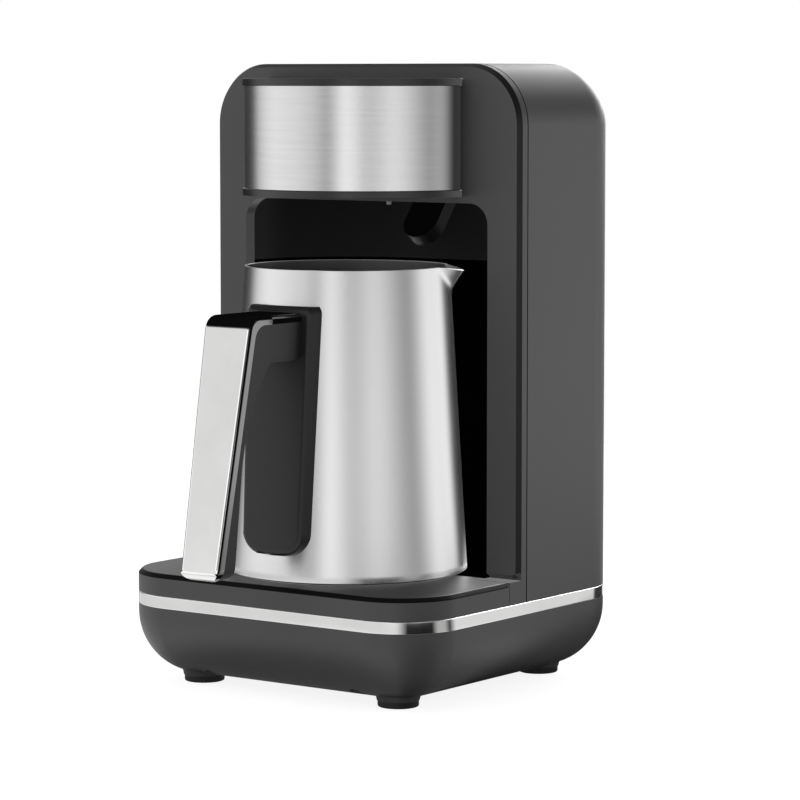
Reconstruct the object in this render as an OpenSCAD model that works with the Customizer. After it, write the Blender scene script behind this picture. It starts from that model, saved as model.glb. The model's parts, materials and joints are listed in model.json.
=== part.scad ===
// Electric Turkish coffee maker: a moulded body with an open pot bay, a hot plate in its deck,
// a half-round head over the bay and a steel pot with a lever handle that slides out forwards.
// X is the width, -Y is the front and +Z is up. The origin lies on the table, in the middle of
// the space that the machine and its pot take up. Heights named _z count from the table.

/* [Pot] */
// Height of the pot
pot_h = 120.4; // [112:0.2:130]
// Outer radius of the pot at its base
pot_base_r = 47.6; // [44:0.2:49]
// Outer radius of the pot at its rim
pot_rim_r = 40.6; // [36:0.2:43]
// Wall of the pot
pot_wall = 0.8; // [0.6:0.1:1.2]
// Thickness of the bonded base disc
base_disc_t = 3; // [2:0.1:4]
// Gap between the pot and the hot plate
pot_gap = 0.3; // [0.2:0.1:0.5]
// Distance of the tip of the spout from the pot's axis
spout_reach = 46.5; // [44:0.1:50]
// Direction of the spout, turned from the width towards the back
spout_turn = 30; // [0:1:60]
// Width of the spout where it leaves the rim
spout_w = 31; // [26:0.5:36]
// Height of the spout
spout_h = 10.5; // [8:0.5:16]
// Drop of the tip of the spout below the rim
spout_dip = 1.8; // [0:0.1:3]

/* [Body] */
// Depth of the body, from the front of the deck to the back
body_d = 146.5; // [136:0.5:160]
// Corner radius of the body seen from above
plan_r = 26; // [24.5:0.5:28]
// Radius of the top edges, smaller than the corner radius
top_r = 24; // [12:0.5:24]
// Wall of the mouldings
wall = 2.4; // [2:0.1:2.8]
// Width of the open joints between the mouldings
seam = 0.6; // [0.3:0.1:1]
// Gap between the foot of the pot and the walls of the bay
bay_room = 12.4; // [10:0.1:16]
// Gap between the rim of the pot and the ceiling of the bay
rim_room = 26.1; // [24:0.1:34]
// Distance of the pot's base from the front of the deck
deck_front = 9.15; // [6:0.05:14]
// Room behind the bay for the boards
back_room = 21.35; // [20:0.05:26]

/* [Base] */
// Gap between the table and the flat underside
floor_gap = 3.3; // [2.8:0.1:5]
// Height of the tub under the trim band
tub_h = 28.6; // [27:0.1:34]
// Radius of the lower edge of the tub, smaller than the corner radius
tub_edge_r = 25.4; // [14:0.1:25.4]
// Height of the trim band
band_h = 4.7; // [3:0.1:7]
// Thickness of the trim band
band_t = 2; // [1.2:0.1:2.4]
// Height of the deck above the trim band
deck_h = 9; // [8.6:0.1:12]
// Bevel on the upper edge of the deck
deck_bevel = 1.6; // [0.6:0.1:2]
// Thickness of the inner chassis plate
chassis_t = 2.4; // [2:0.1:3]
// Distance of the feet from the sides of the body
foot_in_x = 26.8; // [24:0.1:32]
// Distance of the feet from the front and the back of the body
foot_in_y = 25.25; // [24:0.05:32]
// Radius of the rubber feet
foot_r = 8; // [6:0.5:9]
// Height of the rubber feet under their bosses
foot_h = 2.5; // [1.5:0.1:2.7]

/* [Front frame] */
// Thickness of the front frame
frame_t = 5.7; // [4.5:0.1:7]
// Width of the bevel round the face of the frame
frame_bevel = 1.35; // [0.6:0.05:2]
// Depth of the same bevel
frame_bevel_d = 2.1; // [1:0.1:3]
// Depth of the frame's feet, in front of the joint with the housing
frame_foot_d = 11.4; // [8:0.1:14]
// Width of the frame's legs
leg_w = 15; // [13.5:0.1:18]
// Radius of the upper corners of the opening
bay_corner_r = 8.5; // [4:0.5:14]

/* [Pot bay] */
// Radius of the rear corners of the bay, seen from above
bay_r = 42; // [30:1:42]
// Wall of the bay liner and the hood
liner_t = 2; // [1.5:0.1:2.5]
// Height of the hood over the liner
hood_h = 28.5; // [22:0.1:40]

/* [Head] */
// Radius of the head's lips
head_r = 48; // [44:0.5:52]
// Height of the head
head_h = 46; // [40:0.5:48]
// Gap between the ceiling of the bay and the head
head_gap = 1.4; // [0.6:0.1:3]
// Gap between the top of the body and the top of the head
head_drop = 5.8; // [3:0.1:9]
// Height of the black lips over and under the steel wrap
lip_h = 2.8; // [2:0.1:4]
// Thickness of the steel wrap
wrap_t = 0.6; // [0.4:0.1:1]
// Step from the lips in to the steel wrap
lip_step = 0.8; // [0.4:0.1:1.5]

/* [Start button] */
// Radius of the start button
button_r = 11; // [9:0.5:13]
// Distance of the button behind the joint of frame and housing
button_back = 26; // [22:1:30]
// Travel of the button
button_travel = 1.5; // [1:0.1:2]
// Depth of the button's face under the top
button_sink = 0.3; // [0.2:0.1:0.6]
// Width of the ring round the button
button_ring_w = 2.2; // [1.5:0.1:3]

/* [Hot plate] */
// Overhang of the pot round the hot plate
plate_in = 2; // [1:0.1:5]
// Thickness of the hot plate
plate_t = 6; // [5:0.1:6.8]
// Height of the hot plate above the deck
plate_rise = 0.4; // [0.2:0.1:1]
// Radius of the tubular heater's loop
heater_r = 32; // [28:0.5:35]
// Radius of the tubular heater's sheath
heater_tube_r = 3.3; // [2.5:0.1:4]

/* [Handle] */
// Width of the face of the handle's bracket
bracket_w = 28.8; // [24:0.2:32]
// Width added by the flared sides of the bracket
bracket_flare = 5.6; // [3:0.2:8]
// Thickness of the bracket in front of the pot
bracket_t = 2.6; // [2:0.1:4]
// Depth of the flared sides of the bracket
bracket_d = 14; // [10:0.5:18]
// Radius of the lower corners of the bracket's face
bracket_low_r = 8.5; // [4:0.5:12]
// Distance of the bracket's upper edge below the rim
bracket_drop = 13.9; // [8:0.1:20]
// Height of the bracket's lower edge above the pot's base
bracket_low = 10.5; // [6:0.1:24]
// Width of the grip at its upper end
grip_w = 23; // [20:0.5:26]
// Width of the grip at its lower end
grip_end_w = 18.5; // [14:0.5:22]
// Length of the arm, from the pot's rim to the front of the grip
arm_l = 34; // [30:0.2:42]
// Lean of the grip from upright
grip_lean = 10.9; // [8:0.1:13]
// Distance of the grip's upper face below the bracket's upper edge
grip_drop = 2.3; // [0.6:0.1:5]
// Height of the grip's lower end above the pot's base
grip_end = 5; // [4:0.2:14]
// Thickness of the grip's leg at its lower end
grip_t = 10.4; // [8:0.2:12]
// Radius of the lower corners of the grip
grip_end_r = 5; // [2:0.5:7]
// Thickness of the arm between grip and bracket
arm_t = 17.9; // [14:0.1:20]
// Thickness of the bright cover on the grip
cover_t = 1.2; // [0.8:0.1:1.6]
// Width of the cover's edge on the sides of the grip
cover_wrap = 3.3; // [2:0.1:5]

/* [Hidden] */
$fn = 72;
tiny = 0.01;
far = 300;
// clearances
fit = 0.2;           // between fixed pieces that slot together
run = 0.3;           // round the button and under other moving pieces
// heights above the table, from the table up through the pot to the top
tub_top = floor_gap + tub_h;
shell_z = tub_top + band_h;
deck_z = shell_z + deck_h;
plate_z = deck_z + plate_rise;
plate_under = plate_z - plate_t;
pot_z = plate_z + pot_gap;
bay_top = pot_z + pot_h + rim_room;
split_z = bay_top + liner_t - hood_h;
hood_top = bay_top + liner_t;
head_z = bay_top + head_gap;
head_top = head_z + head_h;
body_h = head_top + head_drop;
// plan: the bay takes the pot, and the body takes the bay
bay_w = 2 * (pot_base_r + bay_room);
body_w = bay_w + 2 * leg_w;
bay_half = bay_w / 2;
half_w = body_w / 2;
half_d = body_d / 2;
bay_d = half_d - wall - back_room;
pot_front = half_d - deck_front - pot_base_r;
// cord gland in the back of the housing
gland_r = 3.5;
gland_neck_r = 6;
gland_flange_r = 8.5;
gland_flange_t = 1.5;
gland_in_t = 2;
gland_z = shell_z + 12;
// handle: heights above the pot's base
bracket_top = pot_h - bracket_drop;
grip_top = bracket_top - grip_drop;
// side view of the grip: X is the reach from the pot's axis, Y the height
grip_reach = pot_rim_r + arm_l;
grip_corner_r = 6;
grip_toe_r = 3;
grip_line = grip_reach * cos(grip_lean) + grip_top * sin(grip_lean);
function leg_x(z, inset) = (grip_line - inset - z * sin(grip_lean)) / cos(grip_lean);
// the origin is in the middle of the whole length, pot handle to cord gland
front_reach = pot_front + leg_x(grip_end + grip_toe_r, grip_toe_r) + grip_toe_r;
back_reach = half_d + gland_flange_t;
body_shift = (front_reach - back_reach) / 2;
// screws
screw_r = 1.5;
screw_head_r = 2.8;
screw_head_h = 2;
pin_r = 1;           // small screws
pin_head_r = 2.2;
pin_head_h = 1.4;
play = 0.05;         // between a screw's thread and the plastic
post_r = 5;
// posts that hold the tub, under the chassis plate
post_x = half_w - 39;
post_y = half_d - 15.25;
post_seat_z = floor_gap + 16;
boss_h = deck_h - 3;
// feet: where they stand, and the collar that keeps them in
foot_x = half_w - foot_in_x;
foot_y = half_d - foot_in_y;
foot_collar_r = 3.8;
foot_collar_h = 2.4;
// posts that hold the rear housing
shell_post_r = 4.4;
shell_post_x = half_w - wall - shell_post_r + 0.4;
shell_post_y = 30;
shell_post_h = 14;
shell_screw_h = 10;
foot_screw_h = deck_h - 1;
// hot plate
plate_r = pot_base_r - plate_in;
plate_flange = 2.9;
plate_flange_t = 2.2;
gasket_t = deck_z - wall - plate_under - plate_flange_t;
lug_reach = plate_r + 12.5;
lug_w = 11;
lug_angles = [90, 210, 330];
stud_r = 3;
stud_h = 14;
collar_t = 0.7;
heater_z = plate_under - heater_tube_r + 1.5;
chassis_bore_r = plate_r + 3.4;
shield_t = 0.8;
shield_gap = 12;
nut_w = 5;
nut_h = 3;
thermostat_r = 8;
thermostat_h = 8;
fuse_r = 2.2;
fuse_l = 24;
sensor_x = 15;
// boards
board_t = 1.6;
board_w = 60;
board_d = 40;
board_inset = 4;
control_z = body_h - 19;
power_z = 70;
power_h = 76;
power_gap = 6;
power_post_x = 14;
power_inset = 6;
liner_back = bay_d + liner_t - seam / 2;
standoff_r = 2.6;
loom_r = 2.5;
loom_x = 24;
loom_y = bay_d + 4.1;
lead_r = 1.4;
block_w = 30;
block_d = 12;
block_h = 14;
block_y = half_d - wall - gland_in_t - 1.85 - block_d / 2;
block_mid = 8;
// screws of liner and hood: their heights, and their distance from the bay's wall
low_screw_h = 25;
mid_screw_h = 95;
hood_screw_h = 15;
screw_out = liner_t + pin_head_r + 0.8;
flange_out = liner_t + 7;
// foam sensor, leaning forwards over the rim of the pot
pod_w = 16.4;
pod_t = 6;
pod_lean = 38;
pod_tip_y = bay_d - 18.9;
pod_tip_z = bay_top - 18.4;
pod_l = 24;
lens_r = 2.4;
lens_l = 7;
// pilot lamp in the ceiling of the bay
lamp_y = 11.2;
lamp_r = 1;
lamp_drop = 3;
// start button
sleeve_h = 7;
sleeve_z = body_h - wall - sleeve_h;
ring_t = 2.2;
flange_t = 1.6;
flange_w = 1.6;
flange_z = sleeve_z - run - flange_t;
button_roof = 2.6;
dish_r = 40;
dish_d = 1.2;
board_z = control_z + board_t;
board_front = button_back - board_d / 2;
// pot
slope = (pot_base_r - pot_rim_r) / pot_h;
function pot_r(z) = pot_base_r - slope * z;
disc_edge = 2;
// handle bolt
handle_z = grip_top - arm_t / 2;
bolt_r = 2;
bolt_nut_r = 4;
nut_seat = 19;
nut_y = pot_r(handle_z) + nut_seat;
// colours
shell_c = "#4d4d4d";
dark_c = "#2b2b2b";
black_c = "#101010";
steel_c = "#c4c4c4";
chrome_c = "#e2e2e2";
brass_c = "#b99a4b";
board_c = "#1f6b3a";
white_c = "#e8e4d8";
seal_c = "#5a2a22";
lens_c = "#303848";
wire_c = "#8a8a8a";
relay_c = "#2a4a8a";
disc_c = "#9a9a9a";

// ---------- shared forms ----------

// from the middle of the body to the part's own origin
module on_body() { translate([0, body_shift, 0]) children(); }

// from the pot's axis, at the pot's base
module on_pot() { on_body() translate([0, -pot_front, pot_z]) children(); }

// from the middle of the hot plate, at table height
module on_plate() { on_body() translate([0, -pot_front, 0]) children(); }

// rectangle standing on the X axis with round upper corners
module arch(w, h, r) {
    translate([-w / 2, 0]) square([w, h - r]);
    translate([-w / 2 + r, 0]) square([w - 2 * r, h]);
    for (side = [-1, 1]) translate([side * (w / 2 - r), h - r])
        intersection() { circle(r); translate([-r, 0]) square([2 * r, r]); }
}

// rectangle with round corners, centred
module round_rect(w, d, r) {
    square([w - 2 * r, d], center = true);
    square([w, d - 2 * r], center = true);
    for (x = [-1, 1], y = [-1, 1]) translate([x * (w / 2 - r), y * (d / 2 - r)]) circle(r);
}

// block with round corners in plan and round upper edges, standing on z = 0
module soft_block(w, d, h, r, edge) {
    translate([0, d / 2 - r, 0]) rotate([90, 0, 0]) linear_extrude(d - 2 * r) arch(w, h, edge);
    translate([r - w / 2, 0, 0]) rotate([90, 0, 90]) linear_extrude(w - 2 * r) arch(d, h, edge);
    for (x = [-1, 1], y = [-1, 1]) translate([x * (w / 2 - r), y * (d / 2 - r), 0])
        rotate_extrude() {
            square([r - edge, h]);
            square([r, h - edge]);
            translate([r - edge, h - edge]) intersection() { circle(edge); square(edge); }
        }
}

// plate with bevelled upper edges; its near corners have radius near_r, its far ones far_r
module bevel_plate(w, d, near_r, far_r, t, bevel) {
    module bar(length, width) {
        rotate([90, 0, 90]) linear_extrude(length, center = true)
            polygon([[0, 0], [width, 0], [width, t], [bevel, t]]);
    }
    for (side = [-1, 1]) {
        translate([side * (w / 2 - near_r), near_r, 0]) cylinder(r1 = near_r, r2 = near_r - bevel, h = t);
        translate([side * (w / 2 - far_r), d - far_r, 0]) cylinder(r1 = far_r, r2 = far_r - bevel, h = t);
    }
    bar(w - 2 * near_r, d / 2 + tiny);
    translate([0, d, 0]) rotate([0, 0, 180]) bar(w - 2 * far_r, d / 2 + tiny);
    for (side = [0, 1]) mirror([side, 0, 0])
        translate([-w / 2, (near_r + d - far_r) / 2, 0]) rotate([0, 0, -90])
            bar(d - near_r - far_r, w / 2 + tiny);
}

// round bar between two points
module rod(a, b, r) {
    way = b - a;
    long = norm(way);
    translate(a) rotate([0, acos(way[2] / long), atan2(way[1], way[0])]) cylinder(r = r, h = long);
}

// round bar through a row of points, with ball corners
module bent_rod(points, r) {
    for (k = [1:len(points) - 1]) rod(points[k - 1], points[k], r);
    for (k = [1:len(points) - 2]) translate(points[k]) sphere(r = r);
}

// pan-head screw pointing up from z = 0, head below
module screw(length, r = screw_r, head_r = screw_head_r, head_h = screw_head_h) {
    cylinder(r = r, h = length);
    difference() {
        translate([0, 0, -head_h]) cylinder(r = head_r, h = head_h);
        for (turn = [0, 90]) rotate([0, 0, turn]) translate([0, 0, -head_h])
            cube([head_r * 1.2, r * 0.4, head_h], center = true);
    }
}

// the four places of the tub's posts, and those of the feet
module at_posts() { for (x = [-1, 1], y = [-1, 1]) translate([x * post_x, y * post_y, 0]) children(); }
module at_feet() { for (x = [-1, 1], y = [-1, 1]) translate([x * foot_x, y * foot_y, 0]) children(); }
module at_shell_posts() { for (x = [-1, 1]) translate([x * shell_post_x, shell_post_y, 0]) children(); }

module at_frame_feet() {
    for (x = [-1, 1]) translate([x * (half_w - leg_w / 2), -frame_foot_d / 2, 0]) children();
}

// the three screws that hold the hot plate under the deck
module at_lugs() {
    for (turn = lug_angles) rotate([0, 0, turn]) translate([lug_reach - lug_w / 2, 0, 0]) children();
}

// ---------- base ----------

module tub_form(inset) {
    translate([0, 0, tub_top]) mirror([0, 0, 1])
        soft_block(body_w - 2 * inset, body_d - 2 * inset, tub_h - inset, plan_r - inset, tub_edge_r - inset);
}

module base_tub() {
    on_body() color(shell_c) difference() {
        union() {
            difference() {
                union() {
                    tub_form(0);
                    at_feet() translate([0, 0, foot_h]) cylinder(r1 = foot_r + 0.3, r2 = foot_r + 1.5, h = 5);
                }
                tub_form(wall);
                // straight mouth, down to where the inner curve starts
                translate([0, 0, tub_top - wall]) linear_extrude(2 * wall)
                    round_rect(body_w - 2 * wall, body_d - 2 * wall, plan_r - wall);
            }
            // posts from the floor of the tub up to the chassis plate
            intersection() {
                at_posts() cylinder(r = post_r, h = shell_z - chassis_t);
                union() {
                    tub_form(tiny);
                    translate([0, 0, tub_top - 1]) linear_extrude(band_h)
                        square([body_w, body_d], center = true);
                }
            }
        }
        at_posts() {
            translate([0, 0, -1]) cylinder(r = screw_head_r + 0.4, h = post_seat_z + 1);
            cylinder(r = screw_r + fit, h = far);
        }
        // holes for the feet, with a flat seat inside for their collars
        at_feet() {
            cylinder(r = stud_r, h = floor_gap + wall + 1);
            translate([0, 0, floor_gap + wall]) cylinder(r = foot_collar_r + fit, h = foot_collar_h);
        }
        // vents under the heater
        for (k = [-5:5]) translate([k * 5, -pot_front, floor_gap + wall / 2])
            round_slot(2, 40, 2 * wall);
    }
}

// slot with round ends along Y, centred on the origin
module round_slot(w, l, t) {
    translate([0, 0, -t / 2]) linear_extrude(t) {
        square([w, l - w], center = true);
        for (y = [-1, 1]) translate([0, y * (l - w) / 2]) circle(d = w);
    }
}

module rubber_feet() {
    on_body() color(black_c) at_feet() {
        cylinder(r1 = foot_r - 0.4, r2 = foot_r, h = 0.4);
        translate([0, 0, 0.4]) cylinder(r = foot_r, h = foot_h - 0.4);
        cylinder(r = stud_r, h = floor_gap + wall + tiny);
        translate([0, 0, floor_gap + wall])
            cylinder(r1 = foot_collar_r, r2 = stud_r - 0.5, h = foot_collar_h);
    }
}

module base_screws() {
    on_body() color(steel_c) at_posts() translate([0, 0, post_seat_z])
        screw(shell_z + boss_h - 2 - post_seat_z);
}

// lined hole for the mains cord, low in the back
module cord_gland() {
    on_body() color(black_c) translate([0, half_d, gland_z]) rotate([-90, 0, 0]) difference() {
        union() {
            cylinder(r1 = gland_flange_r, r2 = gland_flange_r - 1, h = gland_flange_t);
            translate([0, 0, -wall]) cylinder(r = gland_neck_r, h = wall + tiny);
            translate([0, 0, -wall - gland_in_t]) cylinder(r = gland_neck_r + 1.5, h = gland_in_t);
        }
        cylinder(r = gland_r, h = far, center = true);
    }
}

module terminal_block() {
    on_body() color(white_c) translate([0, block_y, shell_z]) difference() {
        translate([-block_w / 2, -block_d / 2, 0]) cube([block_w, block_d, block_h]);
        for (k = [-1:1]) translate([k * block_w * 0.3, 0, block_mid]) {
            cylinder(r = 2.6, h = block_h);
            rotate([90, 0, 0]) cylinder(r = 1.8, h = far, center = true);
        }
    }
}

module trim_band() {
    on_body() color(chrome_c) translate([0, 0, tub_top]) linear_extrude(band_h) difference() {
        round_rect(body_w, body_d, plan_r);
        round_rect(body_w - 2 * band_t, body_d - 2 * band_t, plan_r - band_t);
    }
}

module chassis_plate() {
    inset = band_t + fit;
    on_body() color(dark_c) difference() {
        union() {
            translate([0, 0, shell_z - chassis_t]) linear_extrude(chassis_t) difference() {
                round_rect(body_w - 2 * inset, body_d - 2 * inset, plan_r - inset);
                translate([0, -pot_front]) circle(chassis_bore_r);
                // way for the heater's leads
                translate([0, block_y]) round_rect(22, 8, 3);
            }
            at_posts() translate([0, 0, shell_z - chassis_t]) cylinder(r = post_r, h = chassis_t + boss_h);
        }
        at_posts() cylinder(r = screw_r + play, h = far);
        at_shell_posts() cylinder(r = screw_r + fit, h = far);
        at_frame_feet() cylinder(r = screw_r + fit, h = far);
    }
}

module chassis_screws() {
    on_body() color(steel_c) {
        at_shell_posts() translate([0, 0, shell_z - chassis_t]) screw(shell_screw_h);
        at_frame_feet() translate([0, 0, shell_z - chassis_t]) screw(foot_screw_h);
    }
}

// ---------- deck and heater ----------

// plan of the part in front of the frame's feet
module deck_plan(inset) {
    front = half_d - inset;
    intersection() {
        round_rect(body_w - 2 * inset, body_d - 2 * inset, plan_r - inset);
        translate([-half_w, -front]) square([body_w, front - frame_foot_d - seam / 2 - inset]);
    }
}

// plan of the part between the feet and inside the liner
module floor_plan(inset) {
    reach = frame_foot_d + 2 * wall;
    translate([inset + fit - bay_half, -reach]) square([bay_w - 2 * fit - 2 * inset, reach]);
    translate([0, -seam / 2]) bay_plan(-fit - inset);
}

module deck() {
    boss_r = screw_r + 1.7;
    on_body() color(dark_c) difference() {
        union() {
            translate([0, 0, shell_z]) linear_extrude(deck_h - deck_bevel) deck_plan(0);
            intersection() {
                translate([0, -half_d, deck_z - deck_bevel])
                    bevel_plate(body_w, body_d, plan_r, plan_r, deck_bevel, deck_bevel);
                translate([-half_w, -half_d, 0]) cube([body_w, half_d - frame_foot_d - seam / 2, far]);
            }
            translate([0, 0, shell_z]) linear_extrude(deck_h) floor_plan(0);
        }
        // hollow underside, with a boss over each lug of the hot plate
        translate([0, 0, shell_z - 1]) linear_extrude(deck_h + 1 - wall) difference() {
            union() {
                deck_plan(wall);
                floor_plan(wall);
            }
            translate([0, -pot_front]) at_lugs() circle(boss_r);
        }
        translate([0, -pot_front, shell_z - 1]) {
            cylinder(r = plate_r + collar_t, h = 2 * deck_h);
            at_lugs() {
                cylinder(r = boss_r + tiny, h = plate_under + plate_flange_t - shell_z + 1);
                cylinder(r = pin_r + play, h = deck_h + 0.2);
            }
        }
    }
}

module hot_plate() {
    on_plate() color(steel_c) difference() {
        union() {
            translate([0, 0, plate_under]) cylinder(r = plate_r, h = plate_t - 0.5);
            translate([0, 0, plate_z - 0.5]) cylinder(r1 = plate_r, r2 = plate_r - 0.5, h = 0.5);
            translate([0, 0, plate_under]) cylinder(r = plate_r + plate_flange, h = plate_flange_t);
            at_lugs() translate([0, 0, plate_under]) {
                cylinder(r = lug_w / 2, h = plate_flange_t);
                translate([-12, -lug_w / 2, 0]) cube([12, lug_w, plate_flange_t]);
            }
            translate([0, 0, plate_under - stud_h]) cylinder(r = stud_r, h = stud_h + tiny);
        }
        at_lugs() translate([0, 0, plate_under - 1]) cylinder(r = pin_r + fit, h = plate_flange_t + 2);
        // groove that seats the tubular heater
        translate([0, 0, heater_z]) rotate_extrude() translate([heater_r, 0]) circle(heater_tube_r);
    }
}

// seal under the deck, with a collar round the plate
module plate_gasket() {
    seal_z = plate_under + plate_flange_t;
    on_plate() color(seal_c) translate([0, 0, seal_z]) difference() {
        union() {
            cylinder(r = plate_r + plate_flange, h = gasket_t);
            cylinder(r = plate_r + collar_t, h = deck_z - seal_z - fit);
        }
        translate([0, 0, -1]) cylinder(r = plate_r, h = far);
    }
}

// sheathed heating element: most of a ring, with both ends turned down
module heater_tube() {
    ends = [75, 105];
    end_h = 11;
    pin_h = 17;
    on_plate() color(steel_c) translate([0, 0, heater_z]) {
        rotate([0, 0, ends[1]]) rotate_extrude(angle = 360 - ends[1] + ends[0])
            translate([heater_r, 0]) circle(heater_tube_r - play);
        for (turn = ends) rotate([0, 0, turn]) translate([heater_r, 0, 0]) {
            translate([0, 0, -end_h]) cylinder(r = heater_tube_r - play, h = end_h);
            translate([0, 0, -pin_h]) cylinder(r = lead_r, h = pin_h);
        }
    }
}

// shallow dish under the heater, on the plate's stud
module heat_shield() {
    r = heater_r - heater_tube_r - 3;
    on_plate() color(steel_c) translate([0, 0, plate_under - shield_gap]) difference() {
        cylinder(r = r, h = shield_gap - thermostat_h - 2);
        translate([0, 0, shield_t]) cylinder(r = r - shield_t, h = shield_gap);
        translate([0, 0, -1]) cylinder(r = stud_r + fit, h = shield_gap);
    }
}

module shield_nut() {
    on_plate() color(brass_c) translate([0, 0, plate_under - shield_gap - nut_h]) difference() {
        cylinder(r = nut_w, h = nut_h, $fn = 6);
        translate([0, 0, -1]) cylinder(r = stud_r + play, h = nut_h + 2);
    }
}

module plate_thermostat() {
    on_plate() color(white_c) translate([sensor_x, 0, plate_under - thermostat_h]) {
        cylinder(r = thermostat_r, h = thermostat_h);
        for (side = [-1, 1]) translate([-0.4, side * 4 - 2, -1.5]) cube([0.8, 4, 1.6]);
    }
}

module thermal_fuse() {
    on_plate() color(steel_c) translate([-sensor_x, 0, plate_under - fuse_r]) rotate([90, 0, 0]) {
        cylinder(r = fuse_r, h = fuse_l - 8, center = true);
        cylinder(r = 0.6, h = fuse_l, center = true);
    }
}

module plate_screws() {
    on_plate() color(steel_c) at_lugs() translate([0, 0, plate_under])
        screw(deck_z - 1.2 - plate_under, pin_r, pin_head_r, pin_head_h);
}

// ---------- upper body ----------

// outline of the front, standing on the trim band, seen from the front
module front_outline(inset) { arch(body_w - 2 * inset, body_h - shell_z - inset, top_r - inset); }

// outline of the opening of the bay, from the trim band up
module opening_outline() { arch(bay_w, bay_top - shell_z, bay_corner_r); }

// sets a front view upright on the trim band; its thickness runs forwards from y
module stand_up(y) { translate([0, y, shell_z]) rotate([90, 0, 0]) children(); }

module front_frame() {
    back = seam / 2;
    bevel_y = frame_bevel_d - frame_t;
    lip = wall + fit;
    lip_t = 1.6;
    lip_in = 4;
    heel_r = 3.5;
    passage_w = head_r * 1.4;
    passage_low = 1.6 * lip_h + wall;
    on_body() color(shell_c) difference() {
        union() {
            stand_up(-back) linear_extrude(-back - bevel_y) front_outline(0);
            // bevelled face, a joint's width above the deck
            translate([0, bevel_y, deck_z + seam]) rotate([90, 0, 0])
                bevel_plate(body_w, body_h - deck_z - seam, heel_r, top_r, frame_bevel_d, frame_bevel);
            for (side = [-1, 1]) translate([side * (half_w - leg_w / 2) - leg_w / 2, -frame_foot_d, shell_z])
                cube([leg_w, frame_foot_d - back, deck_h]);
            // lip that enters the housing
            stand_up(lip_in) linear_extrude(lip_in + back + tiny) difference() {
                front_outline(lip);
                front_outline(lip + lip_t);
                translate([-half_w, -1]) square([body_w, deck_h + 1]);
            }
        }
        stand_up(10) translate([0, -1]) linear_extrude(far) opening_outline();
        // passage from the housing into the head
        translate([-passage_w / 2, -far / 2, head_z + passage_low])
            cube([passage_w, far, head_h - 2 * passage_low]);
        at_frame_feet() translate([0, 0, shell_z - 1]) cylinder(r = screw_r + play, h = foot_screw_h);
        at_frame_screws() rotate([90, 0, 0]) cylinder(r = pin_r + play, h = frame_t - 1.5);
    }
}

// screws that hold the liner and the hood to the back of the frame
module at_frame_screws() {
    for (side = [-1, 1], z = [deck_z + low_screw_h, deck_z + mid_screw_h, split_z + hood_screw_h])
        translate([side * (bay_half + screw_out), -seam / 2, z]) children();
}

module frame_screws() {
    on_body() color(steel_c) at_frame_screws() translate([0, liner_t, 0]) rotate([90, 0, 0])
        screw(liner_t + frame_t - 2, pin_r, pin_head_r, pin_head_h);
}

module rear_housing() {
    inner_w = body_w - 2 * wall;
    inner_d = body_d - 2 * wall;
    inner_h = body_h - shell_z - wall;
    on_body() color(shell_c) difference() {
        union() {
            intersection() {
                difference() {
                    translate([0, 0, shell_z]) soft_block(body_w, body_d, body_h - shell_z, plan_r, top_r);
                    translate([0, 0, shell_z - 1])
                        soft_block(inner_w, inner_d, inner_h + 1, plan_r - wall, top_r - wall);
                }
                translate([-half_w, seam / 2, 0]) cube([body_w, half_d, far]);
            }
            at_shell_posts() translate([0, 0, shell_z]) cylinder(r = shell_post_r, h = shell_post_h);
            at_board_posts() translate([0, 0, board_z])
                cylinder(r = standoff_r, h = body_h - wall - board_z + tiny);
            // sleeve that guides the button
            translate([0, button_back, sleeve_z])
                cylinder(r = button_r + button_ring_w + flange_w, h = sleeve_h + tiny);
        }
        at_shell_posts() translate([0, 0, shell_z - 1]) cylinder(r = screw_r + play, h = shell_post_h - 2);
        at_board_posts() translate([0, 0, control_z]) cylinder(r = pin_r + play, h = 10);
        translate([0, button_back, sleeve_z - 1]) cylinder(r = button_r + run, h = far);
        translate([0, button_back, body_h - ring_t]) cylinder(r = button_r + button_ring_w, h = far);
        translate([0, half_d - wall / 2, gland_z]) rotate([-90, 0, 0])
            cylinder(r = gland_neck_r, h = 2 * wall, center = true);
        // vents in the back
        for (k = [-6:6]) translate([k * 5, half_d - wall / 2, shell_z + 45]) rotate([90, 0, 0])
            round_slot(2, 24, 2 * wall);
    }
}

// posts over the control board, in its corners
module at_board_posts() {
    for (x = [-1, 1], y = [-1, 1])
        translate([x * (board_w / 2 - board_inset), button_back + y * (board_d / 2 - board_inset), 0])
            children();
}

// plan of the bay behind the frame: straight sides and round rear corners, grown by grow
module bay_plan(grow) {
    translate([-bay_half - grow, 0]) square([bay_w + 2 * grow, bay_d - bay_r]);
    translate([bay_r - bay_half, 0]) square([bay_w - 2 * bay_r, bay_d + grow]);
    for (side = [0, 1]) mirror([side, 0]) translate([bay_half - bay_r, bay_d - bay_r])
        intersection() { circle(bay_r + grow); square(bay_r + grow); }
}

module bay_wall(h) {
    linear_extrude(h) difference() {
        translate([0, -seam / 2]) bay_plan(liner_t);
        translate([0, -seam / 2 - tiny]) bay_plan(0);
        translate([-bay_half, -1]) square([bay_w, 2]);
    }
    // flanges behind the frame
    for (side = [0, 1]) mirror([side, 0, 0]) translate([bay_half, -seam / 2, 0])
        cube([flange_out, liner_t, h]);
}

module bay_liner() {
    on_body() color(black_c) difference() {
        union() {
            translate([0, 0, shell_z]) bay_wall(split_z - shell_z);
            at_power_posts() rotate([-90, 0, 0]) translate([0, 0, -tiny])
                cylinder(r = standoff_r, h = power_gap + tiny);
        }
        at_frame_screws() rotate([90, 0, 0]) cylinder(r = pin_r + fit, h = 3 * liner_t, center = true);
        at_power_posts() rotate([-90, 0, 0]) translate([0, 0, 1]) cylinder(r = pin_r + play, h = power_gap);
    }
}

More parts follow.
